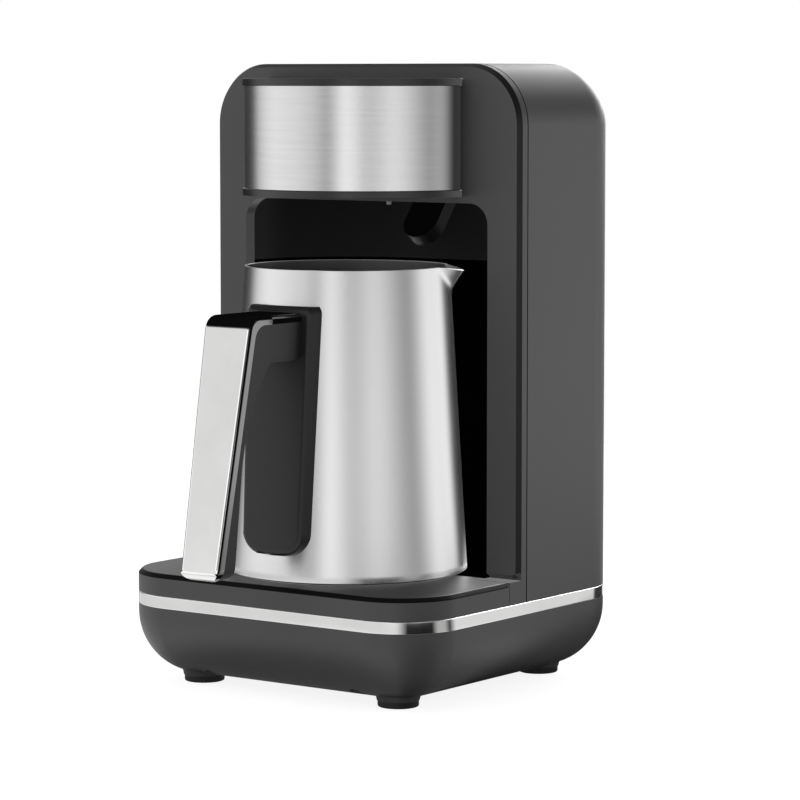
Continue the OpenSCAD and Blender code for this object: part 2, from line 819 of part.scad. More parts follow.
// standoffs behind the liner, for the power board
module at_power_posts() {
    for (x = [-1, 1], z = [0, 1])
        translate([x * power_post_x, liner_back, power_z + power_inset + z * (power_h - 2 * power_inset)])
            children();
}

module bay_hood() {
    on_body() color(dark_c) difference() {
        union() {
            translate([0, 0, split_z]) bay_wall(hood_top - split_z);
            translate([0, -seam / 2, bay_top]) linear_extrude(liner_t) bay_plan(liner_t);
        }
        at_frame_screws() rotate([90, 0, 0]) cylinder(r = pin_r + fit, h = 3 * liner_t, center = true);
        translate([0, lamp_y, bay_top - 1]) cylinder(r = lamp_r, h = liner_t + 2);
        pod_form(fit);
    }
}

// ---------- head ----------

// plans of the head: the whole round, and the half of it in front of the frame
module head_disc(r) { translate([0, -frame_t]) rotate(90) circle(r); }

module head_plan(r) {
    difference() {
        head_disc(r);
        translate([-head_r - 1, -frame_t]) square([2 * head_r + 2, head_r + 1]);
    }
}

module head_drum() {
    core_r = head_r - lip_step - wrap_t;
    on_body() color(black_c) difference() {
        translate([0, 0, head_z]) linear_extrude(head_h) head_plan(head_r);
        translate([0, 0, head_z + lip_h]) linear_extrude(head_h - 2 * lip_h) difference() {
            head_disc(head_r + 1);
            head_disc(core_r);
        }
        translate([0, 0, head_z + wall]) linear_extrude(head_h - 2 * wall) head_disc(core_r - wall);
    }
}

module head_wrap() {
    outer_r = head_r - lip_step;
    on_body() color(steel_c) translate([0, 0, head_z + lip_h]) linear_extrude(head_h - 2 * lip_h)
        difference() {
            head_plan(outer_r);
            head_disc(outer_r - wrap_t);
        }
}

// leaning tongue with a round lower end, grown by grow
module pod_form(grow) {
    translate([0, pod_tip_y, pod_tip_z]) rotate([-pod_lean, 0, 0]) translate([0, pod_t / 2 + grow, 0])
        rotate([90, 0, 0]) linear_extrude(pod_t + 2 * grow) {
            translate([0, pod_w / 2]) circle(pod_w / 2 + grow);
            translate([-pod_w / 2 - grow, pod_w / 2]) square([pod_w + 2 * grow, pod_l - pod_w / 2]);
        }
}

module sensor_pod() {
    on_body() color(black_c) difference() {
        pod_form(0);
        pod_bore(lens_r);
    }
}

module pod_bore(r) {
    translate([0, pod_tip_y, pod_tip_z]) rotate([-pod_lean, 0, 0]) translate([0, 0, -1])
        cylinder(r = r, h = lens_l + 1);
}

module sensor_lens() {
    on_body() color(lens_c) intersection() {
        pod_bore(lens_r);
        pod_form(0);
    }
}

module pilot_lamp() {
    on_body() color(white_c) translate([0, lamp_y, bay_top - lamp_drop]) {
        cylinder(r = lamp_r, h = lamp_drop + liner_t);
        translate([0, 0, lamp_drop + liner_t]) cylinder(r = lamp_r + 1, h = 1);
    }
}

// ---------- start button ----------

module at_button() { on_body() translate([0, button_back, 0]) children(); }

module button_ring() {
    at_button() color(chrome_c) translate([0, 0, body_h - ring_t]) difference() {
        cylinder(r = button_r + button_ring_w, h = ring_t);
        translate([0, 0, -1]) cylinder(r = button_r + run, h = far);
    }
}

// hollow cap with a finger dish on top, a stem for the switch and a flange that keeps it in
module start_button() {
    top = body_h - button_sink;
    skirt_t = 1.6;
    stem_r = 2.6;
    at_button() color(dark_c) {
        difference() {
            union() {
                translate([0, 0, flange_z]) cylinder(r = button_r, h = top - flange_z);
                translate([0, 0, flange_z]) cylinder(r = button_r + flange_w, h = flange_t);
            }
            translate([0, 0, top - dish_d + dish_r]) sphere(r = dish_r);
            translate([0, 0, flange_z - 1])
                cylinder(r = button_r - skirt_t, h = top - button_roof - flange_z + 1);
        }
        translate([0, 0, flange_z]) cylinder(r = stem_r, h = top - button_roof - flange_z + tiny);
    }
}

module button_spring() {
    at_button() color(steel_c) translate([0, 0, board_z])
        coil(6.5, 0.5, body_h - button_sink - button_roof - board_z, 4);
}

// round-wire coil spring with closed ends, standing on z = 0
module coil(r, wire, h, turns) {
    steps = 14;
    ring = 6;
    n = turns * steps;
    function turn_z(k) = wire + (h - 2 * wire) * k / n;
    points = [for (k = [0:n], j = [0:ring - 1])
        let (a = 360 * k / steps, b = 360 * j / ring, rr = r + wire * cos(b))
        [rr * cos(a), rr * sin(a), turn_z(k) + wire * sin(b)]];
    sides = [for (k = [0:n - 1], j = [0:ring - 1]) let (a = k * ring, b = (j + 1) % ring)
        [a + j, a + b, a + ring + b, a + ring + j]];
    low_end = [for (j = [ring - 1:-1:0]) j];
    high_end = [for (j = [0:ring - 1]) n * ring + j];
    polyhedron(points, concat([low_end], sides, [high_end]));
}

module button_switch() {
    at_button() color(black_c) translate([0, 0, board_z]) {
        translate([-3, -3, 0]) cube([6, 6, 3]);
        cylinder(r = 1.7, h = flange_z - button_travel - run - board_z);
    }
}

// ---------- electronics ----------

module control_board() {
    on_body() color(board_c) difference() {
        translate([-board_w / 2, board_front, control_z]) cube([board_w, board_d, board_t]);
        at_board_posts() translate([0, 0, control_z - 1]) cylinder(r = pin_r + fit, h = 5);
    }
}

module board_screws() {
    on_body() color(steel_c) {
        at_board_posts() translate([0, 0, control_z]) screw(8, pin_r, pin_head_r, pin_head_h);
        at_power_posts() translate([0, power_gap + board_t, 0]) rotate([90, 0, 0])
            screw(6, pin_r, pin_head_r, pin_head_h);
    }
}

module buzzer() {
    h = 7;
    on_body() color(black_c) translate([-14, button_back, control_z - h]) difference() {
        cylinder(r = 6, h = h);
        translate([0, 0, -1]) cylinder(r = 1, h = 3);
    }
}

module power_board() {
    on_body() color(board_c) difference() {
        translate([-board_d / 2, liner_back + power_gap, power_z]) cube([board_d, board_t, power_h]);
        at_power_posts() rotate([-90, 0, 0]) cylinder(r = pin_r + fit, h = far);
    }
}

module power_relay() {
    on_body() color(relay_c) translate([-10, liner_back + power_gap + board_t, power_z + 20])
        cube([20, 9, 16]);
}

// loom from the terminal block up to a plug under the control board, and the heater's two leads
module wire_loom() {
    mid_z = shell_z + block_mid;
    top_z = control_z - 9;
    plug_y = button_back + board_d / 2 - 8;
    heater_y = heater_r * sin(75) - pot_front;
    heater_x = heater_r * cos(75);
    on_body() color(wire_c) {
        bent_rod([[block_w / 2, block_y, mid_z], [loom_x, block_y, mid_z], [loom_x, loom_y, mid_z],
                  [loom_x, loom_y, top_z], [0, loom_y, top_z], [0, plug_y, top_z]], loom_r);
        translate([-6, plug_y - 4, control_z - 12]) cube([12, 8, 12]);
        for (side = [-1, 1]) bent_rod([[side * heater_x, block_y, shell_z],
            [side * heater_x, block_y, shell_z - 20], [side * heater_x, heater_y, shell_z - 20],
            [side * heater_x, heater_y, heater_z - 17]], lead_r);
    }
}

// ---------- pot ----------

// solid cone inside the pot's wall, or outside it for a negative inset
module pot_cone(inset, z0, z1) {
    rotate_extrude() polygon([[0, z0], [pot_r(z0) - inset, z0], [pot_r(z1) - inset, z1], [0, z1]]);
}

// beak of the spout, along X: nose, rim and rounded cheeks down to the keel; inset shrinks it to
// its hollow, and over carries it up past the rim
module beak(inset, over) {
    tip_r = 2.4 - inset;
    edge_h = 0.6;
    skin = 1.2 + inset;
    root = spout_w / 2 - inset;
    root_turn = asin(root / pot_rim_r);
    hull() {
        translate([spout_reach - tip_r - inset, 0, pot_h - spout_dip - edge_h])
            cylinder(r = tip_r, h = edge_h + over, $fn = 24);
        for (side = [-1, 1]) {
            rotate([0, 0, side * root_turn]) translate([pot_rim_r - skin, 0, pot_h - edge_h])
                cylinder(r = 0.2, h = edge_h + over, $fn = 12);
            rotate([0, 0, side * root_turn * 0.62])
                translate([pot_r(pot_h - spout_h / 2) - skin, 0, pot_h - spout_h / 2])
                    sphere(r = 1, $fn = 16);
        }
        translate([pot_r(pot_h - spout_h) - skin, 0, pot_h - spout_h + 1.5 * inset])
            sphere(r = 1, $fn = 16);
    }
}

module pot_body() {
    edge = 1.2;
    on_pot() color(steel_c) difference() {
        union() {
            rotate_extrude() polygon([
                [0, 0], [pot_base_r - edge, 0], [pot_r(edge), edge], [pot_rim_r, pot_h], [0, pot_h]]);
            rotate([0, 0, spout_turn]) beak(0, 0);
        }
        pot_cone(pot_wall, base_disc_t + 1, pot_h + 1);
        rotate([0, 0, spout_turn]) beak(pot_wall, spout_dip + 1);
        // recess of the base disc
        translate([0, 0, -1]) cylinder(r = pot_base_r - disc_edge, h = base_disc_t + 1);
    }
}

module pot_base_disc() {
    on_pot() color(disc_c) cylinder(r = pot_base_r - disc_edge - play, h = base_disc_t);
}

// ---------- handle ----------

// points along an arc
function arc(c, r, a0, a1, n) = [for (k = [0:n]) let (a = a0 + (a1 - a0) * k / n) c + r * [cos(a), sin(a)]];

// side view of the whole grip
module grip_profile() {
    // inner side of the leg: straight below, then one long sweep up to the throat under the arm
    inner_lean = 5;
    sweep_r = 80;
    throat_r = 4;
    arm_corner_r = 5;
    inward = [cos(inner_lean), sin(inner_lean)];
    arm_under = grip_top - arm_t;
    corner_z = grip_top - grip_corner_r;
    toe_z = grip_end + grip_toe_r;
    toe_c = [leg_x(toe_z, grip_t - grip_toe_r), toe_z];
    toe_in = toe_c - grip_toe_r * inward;
    bend_h = (grip_top - grip_end) * 0.37;
    bend = toe_in + bend_h * [-tan(inner_lean), 1];
    sweep_c = bend - sweep_r * inward;
    throat_z = arm_under - throat_r;
    throat_x = sweep_c[0] + sqrt(pow(sweep_r - throat_r, 2) - pow(throat_z - sweep_c[1], 2));
    throat_a = atan2(throat_z - sweep_c[1], throat_x - sweep_c[0]);
    throat_step = (90 - throat_a) / 6;
    heel_z = arm_under + arm_corner_r;
    heel_x = pot_rim_r + bracket_t;
    polygon(concat(
        [[pot_rim_r, grip_top]],
        arc([leg_x(corner_z, grip_corner_r), corner_z], grip_corner_r, 90, grip_lean, 8),
        arc([leg_x(toe_z, grip_toe_r), toe_z], grip_toe_r, grip_lean, -90, 6),
        arc(toe_c, grip_toe_r, 270, 180 + inner_lean, 6),
        arc(sweep_c, sweep_r, inner_lean, throat_a, 12),
        arc([throat_x, throat_z], throat_r, throat_a + throat_step, 90, 5),
        arc([heel_x + arm_corner_r, heel_z], arm_corner_r, 270, 180, 6),
        [[pot_rim_r, heel_z]]
    ));
}

// turns a side view into a solid that tapers to its lower end, where its corners are round
module grip_solid(inset) {
    low = grip_end + inset;
    low_x = grip_end_w / 2 - inset;
    high_x = grip_w / 2 - inset;
    r = grip_end_r - inset;
    intersection() {
        rotate([90, 0, -90]) linear_extrude(grip_w + 2, center = true) children();
        rotate([90, 0, 0]) linear_extrude(far) polygon(concat(
            arc([low_x - r, low + r], r, -90, 0, 8),
            [[high_x, grip_top + 1], [-high_x, grip_top + 1]],
            arc([r - low_x, low + r], r, 180, 270, 8)));
    }
}

// bracket that lies on the pot: its face follows the slope of the wall, its sides flare back
module bracket_form() {
    top_corner_r = 3;
    flare = bracket_flare / 2;
    face_low = pot_r(bracket_low) + bracket_t;
    face_high = pot_r(bracket_top) + bracket_t;
    plate_h = bracket_top - bracket_low + bracket_flare;
    intersection() {
        translate([0, bracket_d - face_low, bracket_low - flare]) rotate([90, 0, 0])
            bevel_plate(bracket_w + bracket_flare, plate_h, bracket_low_r + flare, top_corner_r + flare,
                        bracket_d, flare);
        rotate([90, 0, -90]) linear_extrude(far, center = true) polygon([
            [0, bracket_low], [face_low, bracket_low], [face_high, bracket_top], [0, bracket_top]]);
    }
}

module bolt_hole() {
    translate([0, 0, handle_z]) rotate([90, 0, 0]) cylinder(r = bolt_r + fit, h = far);
}

module handle_bracket() {
    on_pot() color(dark_c) difference() {
        bracket_form();
        pot_cone(-play, 0, pot_h);
        bolt_hole();
    }
}

module handle_grip() {
    on_pot() color(dark_c) difference() {
        grip_solid(0) grip_profile();
        cover_form(0.5);
        bracket_form();
        // bolt hole, with a pocket for its nut under the cover
        bolt_hole();
        translate([0, -nut_y, handle_z]) rotate([90, 0, 0]) cylinder(r = bolt_nut_r + 0.4, h = far);
    }
}

// strip of the side view that the cover takes up, along the top and the front
module cover_band(over) {
    difference() {
        for (side = [-1, 1]) translate([over, side * over]) grip_profile();
        translate([-cover_wrap, -cover_wrap]) grip_profile();
    }
}

// thin shell over the top, the front and the edges of the sides; over makes it larger outside
module cover_form(over) {
    difference() {
        grip_solid(-over) cover_band(over);
        grip_solid(cover_t) translate([-cover_t, -cover_t]) grip_profile();
    }
}

module handle_cover() {
    on_pot() color(chrome_c) difference() {
        cover_form(0);
        bracket_form();
    }
}

// threaded stud welded to the pot
module handle_stud() {
    on_pot() color(steel_c) difference() {
        translate([0, 0, handle_z]) rotate([90, 0, 0]) cylinder(r = bolt_r, h = nut_y + nut_h + 0.5);
        pot_cone(-tiny, 0, pot_h);
    }
}

module handle_nut() {
    on_pot() color(brass_c) translate([0, -nut_y, handle_z]) rotate([90, 0, 0]) difference() {
        cylinder(r = bolt_nut_r, h = nut_h, $fn = 6);
        translate([0, 0, -1]) cylinder(r = bolt_r + play, h = far);
    }
}

base_tub();
rubber_feet();
base_screws();
cord_gland();
terminal_block();
trim_band();
chassis_plate();
chassis_screws();
deck();
hot_plate();
plate_gasket();
heater_tube();
heat_shield();
shield_nut();
plate_thermostat();
thermal_fuse();
plate_screws();
front_frame();
rear_housing();
bay_liner();
bay_hood();
frame_screws();
head_drum();
head_wrap();
sensor_pod();
sensor_lens();
pilot_lamp();
button_ring();
button_spring();
button_switch();
control_board();
board_screws();
buzzer();
power_board();
power_relay();
wire_loom();
start_button();
pot_body();
pot_base_disc();
handle_stud();
handle_bracket();
handle_grip();
handle_cover();
handle_nut();
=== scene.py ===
import json
import math

import bpy
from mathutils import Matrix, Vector

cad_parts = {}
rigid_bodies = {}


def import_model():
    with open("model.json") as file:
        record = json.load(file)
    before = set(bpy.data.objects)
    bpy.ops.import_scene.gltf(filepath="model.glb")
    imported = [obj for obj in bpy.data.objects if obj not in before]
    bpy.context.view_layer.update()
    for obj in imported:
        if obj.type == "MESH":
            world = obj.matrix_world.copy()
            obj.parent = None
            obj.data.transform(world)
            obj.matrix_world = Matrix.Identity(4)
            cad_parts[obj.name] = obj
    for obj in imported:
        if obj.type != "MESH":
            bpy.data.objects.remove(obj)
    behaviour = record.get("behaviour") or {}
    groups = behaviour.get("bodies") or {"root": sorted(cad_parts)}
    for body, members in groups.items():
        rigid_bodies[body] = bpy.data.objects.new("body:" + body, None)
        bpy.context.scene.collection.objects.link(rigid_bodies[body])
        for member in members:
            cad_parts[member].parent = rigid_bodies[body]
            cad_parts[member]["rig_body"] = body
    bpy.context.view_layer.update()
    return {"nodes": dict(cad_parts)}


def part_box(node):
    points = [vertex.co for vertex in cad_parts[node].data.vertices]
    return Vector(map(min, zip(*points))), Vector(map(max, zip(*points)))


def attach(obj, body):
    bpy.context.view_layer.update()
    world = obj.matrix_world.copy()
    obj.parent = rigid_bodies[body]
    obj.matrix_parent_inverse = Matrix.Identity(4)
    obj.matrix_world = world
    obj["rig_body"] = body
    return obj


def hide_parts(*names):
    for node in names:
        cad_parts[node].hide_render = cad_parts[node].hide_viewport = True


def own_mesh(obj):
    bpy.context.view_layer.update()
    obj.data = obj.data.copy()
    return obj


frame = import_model()

# ---------------------------------------------------------------- camera
# A long lens to the right of the front, at the height of the machine's top and tipped down a
# little, so that the uprights stay nearly parallel.
camera_data = bpy.data.cameras.new("camera")
camera_data.lens = 152.9
camera_data.sensor_width = 36
camera_data.clip_end = 20
camera = bpy.data.objects.new("camera", camera_data)
camera.location = (0.8126, -1.0693, 0.2405)
camera.rotation_euler = (math.radians(84.58), 0, math.radians(36.32))
bpy.context.scene.collection.objects.link(camera)
bpy.context.scene.camera = camera
bpy.context.scene.view_settings.view_transform = "Standard"


# ---------------------------------------------------------------- table and light
# A white table under soft boxes. The boxes stand to the left and to the right, with greyer gaps
# between them, so that the steel shows long upright streaks and the plastic stays quiet.
class Flow:
    """One value, colour or vector on its way through a finish; arithmetic on it adds nodes."""

    def __init__(self, finish, socket):
        self.finish = finish
        self.socket = socket

    def maths(self, operation, first, second):
        return self.finish.add("ShaderNodeMath", {"operation": operation}, {0: first, 1: second})

    def __add__(self, other):
        return self.maths("ADD", self, other)

    __radd__ = __add__

    def __sub__(self, other):
        return self.maths("SUBTRACT", self, other)

    def __rsub__(self, other):
        return self.maths("SUBTRACT", other, self)

    def __mul__(self, other):
        return self.maths("MULTIPLY", self, other)

    __rmul__ = __mul__

    def __truediv__(self, other):
        return self.maths("DIVIDE", self, other)

    def above(self, edge, soft):
        """1 where the value is well above the edge, 0 well below, smooth between."""
        return self.finish.add(
            "ShaderNodeMapRange",
            {"interpolation_type": "SMOOTHSTEP"},
            {"Value": self, "From Min": edge - soft, "From Max": edge + soft},
        )


class Finish:
    """The node tree of one finish, such as a moulded plastic or a rolled steel."""

    def __init__(self, owner):
        owner.use_nodes = True
        self.owner = owner
        self.nodes = owner.node_tree.nodes
        self.links = owner.node_tree.links

    def add(self, kind, settings=None, values=None, out=0):
        """Any node: its type, its settings, then the values or links of its sockets."""
        node = self.nodes.new(kind)
        for name, setting in (settings or {}).items():
            if name == "stops":
                self.set_stops(node.color_ramp, setting)
            else:
                setattr(node, name, setting)
        for name, value in (values or {}).items():
            self.feed(node.inputs[name], value)
        return Flow(self, node.outputs[out])

    def set_stops(self, ramp, stops):
        while len(ramp.elements) < len(stops):
            ramp.elements.new(1)
        for element, (place, colour) in zip(ramp.elements, stops):
            element.position = place
            element.color = (*colour, 1) if isinstance(colour, tuple) else (*[colour] * 3, 1)

    def feed(self, socket, value):
        if isinstance(value, Flow):
            self.links.new(value.socket, socket)
        else:
            socket.default_value = value

    def parts(self, vector):
        """The three numbers of a vector."""
        split = self.add("ShaderNodeSeparateXYZ", values={0: vector}).socket.node
        return [Flow(self, split.outputs[k]) for k in range(3)]

    def once_round(self, across, along):
        """A direction seen from above as a place from 0 to 1, once round from straight left."""
        angle = self.add("ShaderNodeMath", {"operation": "ARCTAN2"}, {0: across, 1: along})
        return angle / (2 * math.pi) + 0.5

    def by_direction(self, place, stops):
        """Brightness by direction. Each stop is an angle in degrees, 0 to the right and -90 to
        the front, and a level."""
        turns = [(degrees / 360 + 0.5, level) for degrees, level in stops]
        return self.add("ShaderNodeValToRGB", {"stops": turns}, {0: place})


world = bpy.data.worlds.new("studio")
bpy.context.scene.world = world
studio = Finish(world)
side, depth, lift = studio.parts(studio.add("ShaderNodeTexCoord", out="Generated"))
around = studio.once_round(depth, side)
low_stops = [(-180, 0.4), (-173, 0.85), (-160, 1.15), (-150, 1.3), (-120, 1.15), (-100, 0.87),
             (-88, 0.4), (-80, 0.95), (-72, 1.65), (-63, 1.45), (-52, 0.92), (-40, 1.02),
             (-26, 1.36), (-14, 1.18), (0, 0.8), (8, 0.58), (17, 0.44), (26, 0.75), (34, 1.12),
             (43, 1.42), (56, 1.22), (72, 1.5), (79, 0.12), (86, 0.02), (156, 0.03), (173, 0.08),
             (180, 0.4)]
low_boxes = studio.by_direction(around, low_stops)
high_boxes = studio.by_direction(
    around,
    [(-180, 0.85), (-112, 0.86), (-104, 1.35), (-84, 1.35), (-70, 0.1), (-40, 0.03), (5, 0.03),
     (40, 0.15), (70, 0.2), (95, 0.9), (125, 0.9), (165, 0.35), (180, 0.85)],
)
# low boxes at the height of the table's edge and higher ones above them
raised = lift.above(0.125, 0.04)
boxes = low_boxes * (1 - raised) + high_boxes * raised
# a lamp-lit wall behind on the left, just over the table, which only level faces mirror
wall_level = 0.3
rear_wall = studio.by_direction(around, [(118, 0), (126, 1), (150, 1), (156, 0)])
boxes = boxes + rear_wall * lift.above(0.03, 0.03) * (1 - raised) * wall_level
# nothing but a dim ceiling over the boxes in front; behind the machine the white goes on
ceiling_dimming = 0.94
in_front = 1 - depth.above(0.1, 0.2)
over = lift.above(0.36, 0.07)
boxes = boxes * (1 - ceiling_dimming * in_front * over)
# the camera sees plain white, the steel sees the boxes, and the plastic gets an even fill
fill_level = 0.62
rays = studio.add("ShaderNodeLightPath").socket.node
seen = Flow(studio, rays.outputs["Is Camera Ray"])
glossy = Flow(studio, rays.outputs["Is Glossy Ray"])
level = glossy * boxes + (1 - glossy) * fill_level
background = world.node_tree.nodes["Background"]
studio.feed(background.inputs["Strength"], seen + (1 - seen) * level)
studio.feed(background.inputs["Color"], (1, 1, 1, 1))

bpy.ops.object.select_all(action="DESELECT")
bpy.ops.mesh.primitive_circle_add(vertices=96, radius=0.9, fill_type="NGON", location=(0, 0, 0))
table = bpy.context.object
table.name = "table"
cloth = Finish(bpy.data.materials.new("table_white"))
shade = cloth.nodes["Principled BSDF"]
cloth.feed(shade.inputs["Base Color"], (0.86, 0.86, 0.86, 1))
cloth.feed(shade.inputs["Roughness"], 0.9)
white = cloth.add("ShaderNodeEmission", values={"Color": (1, 1, 1, 1), "Strength": 1.25})
# painted reflections: for glossy rays the table glows in dark and bright patches round the foot
# of the machine, which the bright trim's corners and the lower end of the pot mirror
table_x, table_y = cloth.parts(cloth.add("ShaderNodeTexCoord", out="Object"))[:2]
patch_centre_x, patch_centre_y = 0.049, -0.03
near_painted_patches = cloth.by_direction(
    cloth.once_round(table_y - patch_centre_y, table_x - patch_centre_x),
    [(-180, 0.78), (-66, 0.85), (-60, 0.8), (-44, 0.015), (-2, 0.015), (8, 0.5), (22, 0.5),
     (33, 0.04), (47, 0.82), (62, 0.82), (68, 0.04), (92, 0.04), (100, 0.95), (148, 0.9),
     (156, 0.25), (163, 0.8), (172, 0.78)],
)
# further out the table glows with the low boxes' pattern, a painted reflection; close to the
# machine it glows more, and right under it it is darkened by painted shade
far_painted_patches = cloth.by_direction(cloth.once_round(table_y, table_x), low_stops)
distance_squared = table_x * table_x + table_y * table_y
far = distance_squared.above(0.2, 0.05)
near_glow = 0.35
glow = 1 + near_glow * (1 - distance_squared.above(0.035, 0.02))
shade_level = 0.2
clear = distance_squared.above(0.007, 0.003)
painted_table_shade = (shade_level + (1 - shade_level) * clear) * glow
table_painted_reflection = cloth.add(
    "ShaderNodeEmission",
    values={"Strength": (near_painted_patches * (1 - far) + far_painted_patches * far) * painted_table_shade,
            "Color": (1, 1, 1, 1)},
)
# the camera sees it mostly plain white, with some of the machine's shadow; steel sees the painted
# patches
white_share = 0.7
table_rays = cloth.add("ShaderNodeLightPath").socket.node
lit = cloth.add(
    "ShaderNodeMixShader",
    values={0: Flow(cloth, table_rays.outputs["Is Camera Ray"]) * white_share,
            1: Flow(cloth, shade.outputs[0]), 2: white},
)
surface = cloth.add(
    "ShaderNodeMixShader",
    values={0: Flow(cloth, table_rays.outputs["Is Glossy Ray"]), 1: lit, 2: table_painted_reflection},
)
cloth.feed(cloth.nodes["Material Output"].inputs["Surface"], surface)
table.data.materials.append(cloth.owner)

# three lamps aimed at the middle of the machine; only the rear one is mirrored
aim = Vector((0, 0, 0.12))
for name, place, size, power in (
    ("key_box", (-0.9, -1.6, 1.5), 1.4, 15),
    ("side_box", (1.9, 0.1, 0.9), 1.1, 7),
    ("rim_box", (-0.35, 1.5, 0.6), 0.7, 12),
):
    lamp_data = bpy.data.lights.new(name, "AREA")
    lamp_data.size = size
    lamp_data.energy = power
    lamp = bpy.data.objects.new(name, lamp_data)
    lamp.location = place
    lamp.visible_glossy = name == "rim_box"
    lamp.rotation_euler = (aim - Vector(place)).to_track_quat("-Z", "Y").to_euler()
    bpy.context.scene.collection.objects.link(lamp)


# ---------------------------------------------------------------- tub and feet
# The lower half: a deep tub in dark grey plastic with a fine spark-eroded grain. Its outer
# edges are rounded by the mould, and it stands on four rubber feet on round bosses.
def noise(finish, where, scale, detail, stretch=None):
    """Soft random mottling, from 0 to 1; with a stretch it becomes marks across Z."""
    if stretch:
        where = finish.add("ShaderNodeMapping", values={"Vector": where, "Scale": stretch})
    values = {"Vector": where, "Scale": scale, "Detail": detail}
    return finish.add("ShaderNodeTexNoise", values=values)


def toned(finish, colour, spread, mask):
    """A colour that wanders a little to either side of itself."""
    darker = tuple(c * (1 - spread) for c in colour)
    lighter = tuple(c * (1 + spread) for c in colour)
    return finish.add("ShaderNodeValToRGB", {"stops": [(0.3, darker), (0.7, lighter)]}, {0: mask})


def wavering(level, swing, mask):
    """A number that wanders by half the swing to either side of its level."""
    return level - swing / 2 + swing * mask


def coated(finish, tint, rough, height, strength, distance, fixed):
    """Joins a finish to its shader: what varies over the surface, then what is fixed."""
    shader = finish.nodes["Principled BSDF"]
    relief = {"Height": height, "Strength": strength, "Distance": distance}
    finish.feed(shader.inputs["Base Color"], tint)
    finish.feed(shader.inputs["Roughness"], rough)
    finish.feed(shader.inputs["Normal"], finish.add("ShaderNodeBump", values=relief))
    for name, value in fixed.items():
        shader.inputs[name].default_value = value
    return finish.owner


def moulded(name, colour, rough, grain=0.12, gloss=0.5):
    """Moulded plastic: fine pits and a little flow in tone and gloss."""
    plastic = Finish(bpy.data.materials.new(name))
    where = plastic.add("ShaderNodeTexCoord", out="Object")
    pits = noise(plastic, where, scale=2600, detail=2)
    flow = noise(plastic, where, scale=18, detail=3)
    return coated(plastic, toned(plastic, colour, 0.05, flow), wavering(rough, 0.06, flow),
                  height=pits, strength=grain, distance=0.0002,
                  fixed={"Specular IOR Level": gloss})


def dress(material, *nodes):
    """Gives nodes that stay as they are their finish."""
    for node in nodes:
        piece = frame["nodes"][node]
        piece.data.materials.clear()
        piece.data.materials.append(material)


def deselect():
    if bpy.context.object and bpy.context.object.mode == "EDIT":
        bpy.ops.object.mode_set(mode="OBJECT")
    bpy.ops.object.select_all(action="DESELECT")


def take(piece):
    """Makes one piece the only one that the operators act on."""
    deselect()
    piece.select_set(True)
    bpy.context.view_layer.objects.active = piece


def finish_with(piece, kind, **settings):
    """Adds one modifier, sets it and applies it."""
    modifier = piece.modifiers.new(kind.lower(), kind)
    for name, setting in settings.items():
        setattr(modifier, name, setting)
    bpy.ops.object.modifier_apply(modifier=modifier.name)


def round_between(piece, width, first, second):
    """Rounds the edges between two kinds of face, each told by a test of its normal."""
    sides = {}
    for face in piece.data.polygons:
        for pair in face.edge_keys:
            sides.setdefault(pair, []).append(face.normal.copy())
    weights = piece.data.attributes.new("bevel_weight_edge", "FLOAT", "EDGE")
    for edge in piece.data.edges:
        pair = sides.get(edge.key, [])
        if len(pair) == 2 and any(first(a) and second(b) for a, b in (pair, pair[::-1])):
            weights.data[edge.index].value = 1
    finish_with(piece, "BEVEL", width=width, segments=6, profile=0.5, limit_method="WEIGHT",
                use_clamp_overlap=False)


def rounded(node, name, width, material, steps=3, sharp=30, whole_faces=True, soft=None):
    """The moulding of one node with its sharp edges rounded, in the node's place. With soft, a
    width and two tests of a normal, the edges between such faces get a larger round first."""
    flat = math.radians(0.6)
    source = frame["nodes"][node]
    piece = bpy.data.objects.new(name, source.data.copy())
    bpy.context.scene.collection.objects.link(piece)
    take(piece)
    bpy.ops.mesh.customdata_custom_splitnormals_clear()
    bpy.ops.object.mode_set(mode="EDIT")
    bpy.ops.mesh.select_all(action="SELECT")
    bpy.ops.mesh.remove_doubles(threshold=0.000002)
    if whole_faces:
        bpy.ops.mesh.dissolve_limited(angle_limit=flat)
    else:
        bpy.ops.mesh.tris_convert_to_quads(face_threshold=flat, shape_threshold=math.pi)
    bpy.ops.object.mode_set(mode="OBJECT")
    if soft:
        round_between(piece, *soft)
    finish_with(piece, "BEVEL", width=width, segments=steps, limit_method="ANGLE",
                angle_limit=math.radians(sharp), miter_outer="MITER_ARC", use_clamp_overlap=True)
    bpy.ops.object.shade_smooth_by_angle(angle=math.radians(40))
    finish_with(piece, "WEIGHTED_NORMAL", keep_sharp=True, weight=80)
    piece.data.materials.clear()
    piece.data.materials.append(material)
    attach(piece, source["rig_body"])
    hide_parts(node)
    return piece


body_grey = moulded("body_grey", (0.043, 0.043, 0.045), 0.44)
tub = rounded("base_tub", "tub", 0.0004, body_grey)
foot_rubber = moulded("foot_rubber", (0.012, 0.012, 0.012), 0.6)
rounded("rubber_feet", "feet", 0.0004, foot_rubber)


# ---------------------------------------------------------------- trim band
# A bright plated strip that runs right round the body, held between the tub below it and the
# deck and the housing above.
def plated(name, colour, rough):
    """Bright plating: nearly a mirror, with faint polishing marks and a trace of haze."""
    plating = Finish(bpy.data.materials.new(name))
    where = plating.add("ShaderNodeTexCoord", out="Object")
    haze = noise(plating, where, scale=60, detail=4)
    wave = noise(plating, where, scale=90, detail=1)
    return coated(plating, toned(plating, colour, 0.03, haze), wavering(rough, 0.04, haze),
                  height=wave, strength=0.05, distance=0.0002, fixed={"Metallic": 1})


bright_plate = plated("bright_plate", (0.8, 0.795, 0.79), 0.09)
rounded("trim_band", "trim", 0.0003, bright_plate, steps=2)


